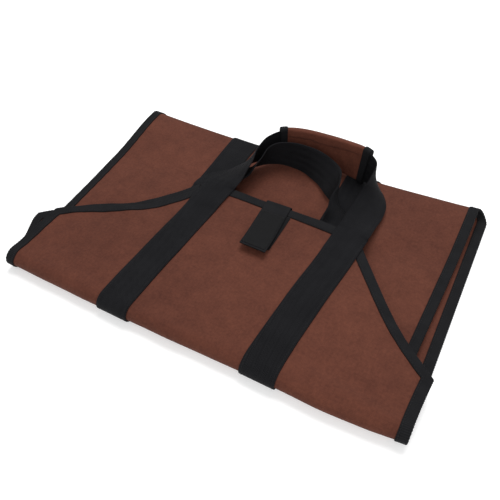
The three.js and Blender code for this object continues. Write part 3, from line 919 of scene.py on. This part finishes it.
def patch_piece():
    ring = band_section(tab_width, patch_thickness, 11)
    s = binding_width + 3 * seam_gap + np.linspace(0, patch_length, 34)
    middle_x = tab_place + patch_shift + tab_skew * s[:, None]
    u = across_at(middle_x, "front_hem") + ring[None, :, 0]
    middle = half_canvas + seam_gap + patch_thickness / 2
    rings = on_sheet(s[:, None] + 0 * u, u, middle + ring[None, :, 1] + 0 * s[:, None])
    return sweep("loop_patch", rings, s, ring_lengths(rings[:1]))


patch = patch_piece()

# %% [markdown]
# Stitches repeat by the hundred, so they are Geometry Nodes: a run of points becomes a curve, the curve is
# cut at the stitch's pitch, and a small grain of thread is set on each point, turned along the seam.

# %% Stitch tree, with the stitches' sizes in millimetres
stitch_sizes = {"Pitch": 3.2, "Stitch length": 2.4, "Thread": 0.75}


def stitch_tree():
    tree = bpy.data.node_groups.new("stitch_run", "GeometryNodeTree")
    sockets = {"Geometry": "Geometry", **dict.fromkeys(stitch_sizes, "Float"), "Material": "Material"}
    inputs = {}
    for title, kind in sockets.items():
        socket = tree.interface.new_socket(title, in_out="INPUT", socket_type="NodeSocket" + kind)
        inputs[title] = socket.identifier
    tree.interface.new_socket("Geometry", in_out="OUTPUT", socket_type="NodeSocketGeometry")
    kinds = {
        "given": "NodeGroupInput",
        "result": "NodeGroupOutput",
        "to_curve": "GeometryNodeMeshToCurve",
        "cut": "GeometryNodeResampleCurve",
        "tangent": "GeometryNodeInputTangent",
        "align": "FunctionNodeAlignRotationToVector",
        "grain": "GeometryNodeMeshIcoSphere",
        "size": "ShaderNodeCombineXYZ",
        "placed": "GeometryNodeInstanceOnPoints",
        "real": "GeometryNodeRealizeInstances",
        "dress": "GeometryNodeSetMaterial",
    }
    nodes = {title: tree.nodes.new(kind) for title, kind in kinds.items()}
    nodes["cut"].mode = "LENGTH"
    nodes["align"].axis = "X"
    nodes["grain"].inputs["Subdivisions"].default_value = 2
    nodes["grain"].inputs["Radius"].default_value = 0.5
    wires = (
        ("given", "Geometry", "to_curve", "Mesh"),
        ("to_curve", "Curve", "cut", "Curve"),
        ("given", "Pitch", "cut", "Length"),
        ("tangent", 0, "align", "Vector"),
        ("cut", "Curve", "placed", "Points"),
        ("grain", "Mesh", "placed", "Instance"),
        ("align", "Rotation", "placed", "Rotation"),
        ("given", "Stitch length", "size", "X"),
        ("given", "Thread", "size", "Y"),
        ("given", "Thread", "size", "Z"),
        ("size", 0, "placed", "Scale"),
        ("placed", "Instances", "real", "Geometry"),
        ("real", "Geometry", "dress", "Geometry"),
        ("given", "Material", "dress", "Material"),
        ("dress", "Geometry", "result", "Geometry"),
    )
    for source, leaves, target, enters in wires:
        tree.links.new(nodes[source].outputs[leaves], nodes[target].inputs[enters])
    return tree, inputs


stitch_nodes, stitch_inputs = stitch_tree()


def stitches(name, runs, finish):
    """Stitches along several runs of points in mm, as one plain mesh."""
    mesh = bpy.data.meshes.new(name + "_runs")
    points = []
    edges = []
    for run in runs:
        first = len(points)
        points.extend(tuple(p) for p in (run - origin_shift) * millimetre)
        edges.extend((k, k + 1) for k in range(first, len(points) - 1))
    mesh.from_pydata(points, edges, [])
    guide = show(name + "_guide", mesh)
    modifier = guide.modifiers.new("stitches", "NODES")
    modifier.node_group = stitch_nodes
    for title, size in stitch_sizes.items():
        modifier[stitch_inputs[title]] = size * millimetre
    modifier[stitch_inputs["Material"]] = finish
    shown = guide.evaluated_get(bpy.context.evaluated_depsgraph_get())
    plain = bpy.data.meshes.new_from_object(shown)
    plain.name = name
    piece = show(name, plain)
    bpy.data.objects.remove(guide)
    print(name, "faces", len(plain.polygons))
    return piece


# %% [markdown]
# Materials. Each starts from the cloth's own UV map in metres, so threads have their real size. A small
# class lets the shader's maths be written as plain expressions: each operator adds one Math node.


# %% Shader maths as expressions
def operator(operation, swapped=False):
    """A method of Value that adds one Math node; swapped puts the value second."""
    def apply(value, other=None):
        first, second = (other, value) if swapped else (value, other)
        return value.shader.math(operation, first, second)

    return apply


class Value:
    """A number that a shader works out, wrapped so that + - * / ** add Math nodes."""

    def __init__(self, shader, socket):
        self.shader = shader
        self.socket = socket

    __add__ = __radd__ = operator("ADD")
    __sub__ = operator("SUBTRACT")
    __rsub__ = operator("SUBTRACT", swapped=True)
    __mul__ = __rmul__ = operator("MULTIPLY")
    __truediv__ = operator("DIVIDE")
    __pow__ = operator("POWER")
    sin = operator("SINE")
    abs = operator("ABSOLUTE")
    fract = operator("FRACT")

    def clamp(self):
        return self.shader.node("ShaderNodeClamp", {}, {0: self})


class Shader:
    """A material whose nodes are added by calls and whose values are written as expressions."""

    def __init__(self, name):
        self.material = bpy.data.materials.new(name)
        self.material.use_nodes = True
        self.tree = self.material.node_tree
        self.base = next(n for n in self.tree.nodes if n.type == "BSDF_PRINCIPLED")

    def fill(self, socket, value):
        if isinstance(value, Value):
            self.tree.links.new(value.socket, socket)
        else:
            socket.default_value = value

    def node(self, kind, settings, inputs, output=0):
        made = self.tree.nodes.new(kind)
        for key, value in settings.items():
            setattr(made, key, value)
        for key, value in inputs.items():
            self.fill(made.inputs[key], value)
        return Value(self, made.outputs[output])

    def math(self, operation, first, second=None):
        inputs = {0: first} if second is None else {0: first, 1: second}
        return self.node("ShaderNodeMath", {"operation": operation}, inputs)

    def flat(self):
        """The cloth's own UV map, across and along, in millimetres."""
        place = self.node("ShaderNodeUVMap", {"uv_map": "cloth"}, {})
        across, along = (self.node("ShaderNodeSeparateXYZ", {}, {0: place}, way) for way in (0, 1))
        return place, across * (1 / millimetre), along * (1 / millimetre)

    def noise(self, place, scale, detail=3.0, rough=0.55):
        inputs = {"Vector": place, "Scale": scale, "Detail": detail, "Roughness": rough}
        return self.node("ShaderNodeTexNoise", {}, inputs)

    def stretch(self, place, scale):
        """The place times a scale for each way, for streaks along threads."""
        return self.node("ShaderNodeVectorMath", {"operation": "MULTIPLY"}, {0: place, 1: scale})

    def blend(self, factor, first, second):
        return self.node("ShaderNodeMix", {"data_type": "RGBA"}, {0: factor, 6: first, 7: second}, 2)

    def object_place(self):
        return self.node("ShaderNodeTexCoord", {}, {}, "Object")

    def bump(self, height, distance, strength=1.0, under=None):
        inputs = {"Height": height, "Distance": distance, "Strength": strength}
        if under is not None:
            inputs["Normal"] = under
        return self.node("ShaderNodeBump", {}, inputs)

    def surface(self, looks):
        for key, value in looks.items():
            self.fill(self.base.inputs[key], value)
        return self.material

    def finish(self, colour, roughness, normal, shine=0.1, sheen=0.0):
        return self.surface({"Base Color": colour, "Roughness": roughness, "Normal": normal,
                             "Sheen Weight": sheen, "Specular IOR Level": shine})


def srgb(red, green, blue):
    """A colour from 0 to 255 as light values."""
    def light(value):
        share = value / 255
        return share / 12.92 if share <= 0.04045 else ((share + 0.055) / 1.055) ** 2.4

    return (light(red), light(green), light(blue), 1.0)


# %% [markdown]
# Waxed canvas: a plain weave of thick threads, about one millimetre each. The dye and the wax lie unevenly,
# so there are broad cloudy patches, finer mottling and faint streaks along the threads both ways.


# %% Canvas material
def canvas_material():
    shader = Shader("waxed_canvas")
    place, across, along = shader.flat()
    world = shader.object_place()
    thread = 0.95
    warp = (across * (math.pi / thread)).sin()
    weft = (along * (math.pi / thread)).sin()
    weave = warp * weft
    crowns = (warp.abs() * weft.abs()) ** 0.6
    clouds = shader.noise(world, 9.0, 2.0)
    mottle = shader.noise(world, 60.0, 5.0, 0.65)
    specks = shader.noise(world, 360.0, 3.0, 0.6)
    streak_across = shader.noise(shader.stretch(place, (60.0, 900.0, 1.0)), 1.0, 2.0)
    streak_along = shader.noise(shader.stretch(place, (900.0, 60.0, 1.0)), 1.0, 2.0)
    streaks = (streak_across + streak_along) * 0.5
    tone = 0.24 * clouds + 0.28 * mottle + 0.28 * specks + 0.2 * streaks
    tone = ((tone - 0.5) * 2.6 + 0.5).clamp()
    dark = srgb(65, 34, 26)
    pale = srgb(102, 57, 42)
    colour = shader.blend(tone, dark, pale)
    gaps = (1.0 - crowns).clamp() * 0.2
    colour = shader.blend(gaps, colour, srgb(44, 20, 14))
    roughness = 0.9 - 0.14 * tone
    coarse = shader.bump(mottle, 0.0006, 0.5)
    fine = shader.bump(weave * 0.5 + crowns + 0.6 * specks, 0.00022, 0.55, coarse)
    return shader.finish(colour, roughness, fine, 0.16, 0.02)


# %% [markdown]
# Binding tape: a thin ribbed weave. Its ribs run across the tape, a millimetre and a half apart, and they
# catch the light on the fold.


# %% Tape material
def tape_material():
    shader = Shader("binding_tape")
    place, across, along = shader.flat()
    rib_gap = 1.5
    cross_gap = 0.8
    rib = (along * (2 * math.pi / rib_gap)).sin()
    cross = (across * (2 * math.pi / cross_gap)).sin()
    fibres = shader.noise(shader.stretch(place, (300.0, 1800.0, 1.0)), 1.0, 3.0)
    clouds = shader.noise(shader.object_place(), 60.0, 3.0)
    tone = (0.5 + 0.16 * rib + 0.45 * (fibres - 0.5) + 0.5 * (clouds - 0.5)).clamp()
    colour = shader.blend(tone, srgb(11, 11, 13), srgb(29, 29, 31))
    roughness = 0.86 - 0.16 * tone
    height = 0.7 * rib + 0.25 * cross + 0.6 * fibres
    return shader.finish(colour, roughness, shader.bump(height, 0.00018, 0.7))


# %% [markdown]
# Webbing: a heavy woven band. Its threads lean one way and then the other in four broad columns, a
# herringbone, which shows as fine slanted lines where the band bends into the light.


# %% Webbing material
def webbing_material():
    shader = Shader("handle_webbing")
    place, across, along = shader.flat()
    column_width = 9.2
    lean_slope = 1.5
    slant_gap = 2.1
    grain_gap = 1.15
    lean = ((across / column_width).fract() - 0.5).abs() * column_width
    slant = ((along + lean * lean_slope) * (2 * math.pi / slant_gap)).sin()
    grain = (across * (2 * math.pi / grain_gap)).sin()
    fibres = shader.noise(shader.stretch(place, (1600.0, 340.0, 1.0)), 1.0, 3.0)
    clouds = shader.noise(shader.object_place(), 30.0, 3.0)
    tone = 0.5 + 0.42 * slant + 0.03 * grain
    tone = (tone + 0.4 * (fibres - 0.5) + 0.5 * (clouds - 0.5)).clamp()
    colour = shader.blend(tone, srgb(6, 6, 8), srgb(36, 36, 39))
    roughness = 0.82 - 0.2 * tone
    height = 0.8 * slant + 0.2 * grain + 0.5 * fibres
    return shader.finish(colour, roughness, shader.bump(height, 0.0005, 0.9))


# %% [markdown]
# The fastener is two tapes: stiff small hooks on the tab's inner side and a mat of soft loops on the patch.
# Both look like a dull pile, hooks in rows and loops at random.


# %% Fastener and thread materials
hook_gap = 1.3


def pile_material(name, rows):
    shader = Shader(name)
    place, across, along = shader.flat()
    fuzz = shader.noise(place, 2600.0, 3.0)
    height = fuzz
    if rows:
        turns = 2 * math.pi / hook_gap
        height = 0.5 * fuzz + (across * turns).sin() * (along * turns).sin()
    tone = (0.5 + 0.8 * (fuzz - 0.5)).clamp()
    colour = shader.blend(tone, srgb(7, 7, 8), srgb(24, 24, 26))
    return shader.finish(colour, 0.95 - 0.1 * tone, shader.bump(height, 0.0004, 0.9), 0.1, 0.04)


def thread_material(name, dark, pale):
    shader = Shader(name)
    twist = shader.noise(shader.object_place(), 2400.0, 2.0)
    colour = shader.blend(twist, dark, pale)
    return shader.finish(colour, 0.72 - 0.1 * twist, shader.bump(twist, 0.0001, 0.5), 0.2)


canvas_finish = canvas_material()
tape_finish = tape_material()
webbing_finish = webbing_material()
hook_finish = pile_material("hook_pile", True)
loop_finish = pile_material("loop_pile", False)
black_thread = thread_material("black_thread", srgb(10, 10, 11), srgb(30, 30, 32))


# %% Seam lines
def tape_run(stations, face_side):
    """Flat places of a tape's edge, moved in to its seam and up to one of its faces."""
    s, u, s_in, u_in = stations
    height = face_side * (half_canvas + seam_gap + binding_thickness + thread_rise)
    return on_sheet(s + s_in * tape_seam, u + u_in * tape_seam, height + 0 * s)


def side_runs(hand):
    stations = [row[::3] for row in side_stations(hand)]
    return [tape_run(stations, 1), tape_run(stations, -1)]


def strap_run(hand, front, edge):
    """One seam along a strap, from close to the hem to the seam with the other half's webbing."""
    places = along_path(strap_step, strap_fold_step)
    if front:
        places = places[(places > seam_start) & (places < seam_s - seam_stop)]
    else:
        places = places[(places < path_length - seam_start) & (places > seam_s + seam_stop)]
    u = hand * strap_spacing / 2 + edge * (webbing_width / 2 - strap_seam)
    rises = smooth((places - start_of["base"] + sink_fade) / sink_fade)
    falls = smooth((start_of["far_fold"] + sink_fade - places) / sink_fade)
    height = strap_stand_off(places) + webbing_thickness - thread_sink - table_sink * rises * falls
    return on_sheet(places, u + 0 * places, height)


def strap_runs(front):
    return [strap_run(hand, front, edge) for hand in (-1, 1) for edge in (-1, 1)]


tape_seam = 8.2
thread_rise = 0.05
strap_seam = 2.6
seam_start = 4
seam_stop = 3
thread_sink = 0.1
table_sink = 0.3
sink_fade = 8
hem_runs = [tape_run(hem_stations(at_back), side) for at_back, side in ((False, 1), (True, -1), (False, -1))]
tape_stitches = [
    stitches("binding_stitches_left", side_runs(-1), black_thread),
    stitches("binding_stitches_right", side_runs(1), black_thread),
    stitches("hem_stitches", hem_runs, black_thread),
]
strap_stitches = [
    stitches("strap_stitches_front", strap_runs(True), black_thread),
    stitches("strap_stitches_back", strap_runs(False), black_thread),
]

dressing = [
    (canvas, canvas_finish, "canvas", ("canvas_sheet",)),
    (binding_left, tape_finish, "tape", ("binding_left",)),
    (binding_right, tape_finish, "tape", ("binding_right",)),
    (hem_front, tape_finish, "tape", ("hem_binding_front",)),
    (hem_back, tape_finish, "tape", ("hem_binding_back",)),
    (webbing_front, webbing_finish, "webbing", ("webbing_front",)),
    (webbing_back, webbing_finish, "webbing", ("webbing_back",)),
    (grip, canvas_finish, "canvas", ("grip_wrap",)),
    (grip_left, tape_finish, "tape", ("grip_end_left",)),
    (grip_right, tape_finish, "tape", ("grip_end_right",)),
    (tab, tape_finish, "fastener", ("closure_tab",)),
    (hooks, hook_finish, "fastener", ()),
    (patch, loop_finish, "fastener", ("tab_patch",)),
]
for piece, finish, slot_name, nodes in dressing:
    piece.data.materials.append(finish)
    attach(piece, "root")
    if nodes:
        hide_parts(*nodes)
for slot_name, pieces in (("tape", tape_stitches), ("webbing", strap_stitches)):
    for piece in pieces:
        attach(piece, "root")

# %% [markdown]
# The photograph was taken with the carrier on a white table, from the front right and well above, in
# soft even light. The floor is white under a pale grey sky. A wide lamp behind the carrier gives the canvas
# its soft shade, and a weaker one in front keeps the grip and the near fold from going dark.

# %% Floor
floor_mesh = bpy.data.meshes.new("floor")
floor_size = 6.0
floor_drop = 0.0003
floor_glow = 0.36
floor_ways = ((-1, -1), (1, -1), (1, 1), (-1, 1))
floor_corners = [(x * floor_size, y * floor_size, -floor_drop) for x, y in floor_ways]
floor_mesh.from_pydata(floor_corners, [], [(0, 1, 2, 3)])
floor = show("floor", floor_mesh)
floor_shader = Shader("floor_white")
floor_tone = floor_shader.noise(floor_shader.object_place(), 3.0, 1.0)
floor_colour = floor_shader.blend(floor_tone, (0.72, 0.72, 0.72, 1), (0.75, 0.75, 0.75, 1))
floor_mesh.materials.append(floor_shader.surface({"Base Color": floor_colour, "Roughness": 0.9,
                                                  "Emission Color": (1, 1, 1, 1),
                                                  "Emission Strength": floor_glow}))

# %% Light
world = bpy.data.worlds.new("studio")
world.use_nodes = True
sky_strength = 0.48
sky = world.node_tree.nodes["Background"]
sky.inputs["Color"].default_value = (1, 1, 1, 1)
sky.inputs["Strength"].default_value = sky_strength
bpy.context.scene.world = world
bpy.context.scene.view_settings.view_transform = "Standard"
bpy.context.scene.view_settings.look = "None"


def softbox(name, place, size, power):
    """A round lamp that faces the middle of the carrier."""
    light = bpy.data.lights.new(name, "AREA")
    light.shape = "DISK"
    light.size = size
    light.energy = power
    holder = show(name, light)
    holder.location = place
    aim = -Vector(place)
    holder.rotation_euler = aim.to_track_quat("-Z", "Y").to_euler()


softbox("key", (-0.1, 0.8, 1.7), 1.3, 31)
softbox("fill", (0.6, -1.4, 1.25), 1.6, 17)

# %% Camera at the photograph's angle
azimuth = math.radians(28.68)
elevation = math.radians(46.25)
roll = math.radians(-1.03)
level = math.cos(elevation)
away = Vector((math.sin(azimuth) * level, -math.cos(azimuth) * level, math.sin(elevation)))
right = (-away).cross(Vector((0, 0, 1))).normalized()
up = right.cross(-away).normalized()
turned_right = right * math.cos(roll) + up * math.sin(roll)
turned_up = -right * math.sin(roll) + up * math.cos(roll)
camera_data = bpy.data.cameras.new("camera")
camera_data.sensor_width = 36
camera_data.lens = 42.27
camera_data.clip_start = 0.01
camera = show("camera", camera_data)
camera_place = np.array([222.8, -264.1, 488.3])
place = (camera_place - origin_shift) * millimetre
turn = Matrix((turned_right, turned_up, away)).transposed()
camera.matrix_world = Matrix.Translation(Vector(place)) @ turn.to_4x4()
bpy.context.scene.camera = camera
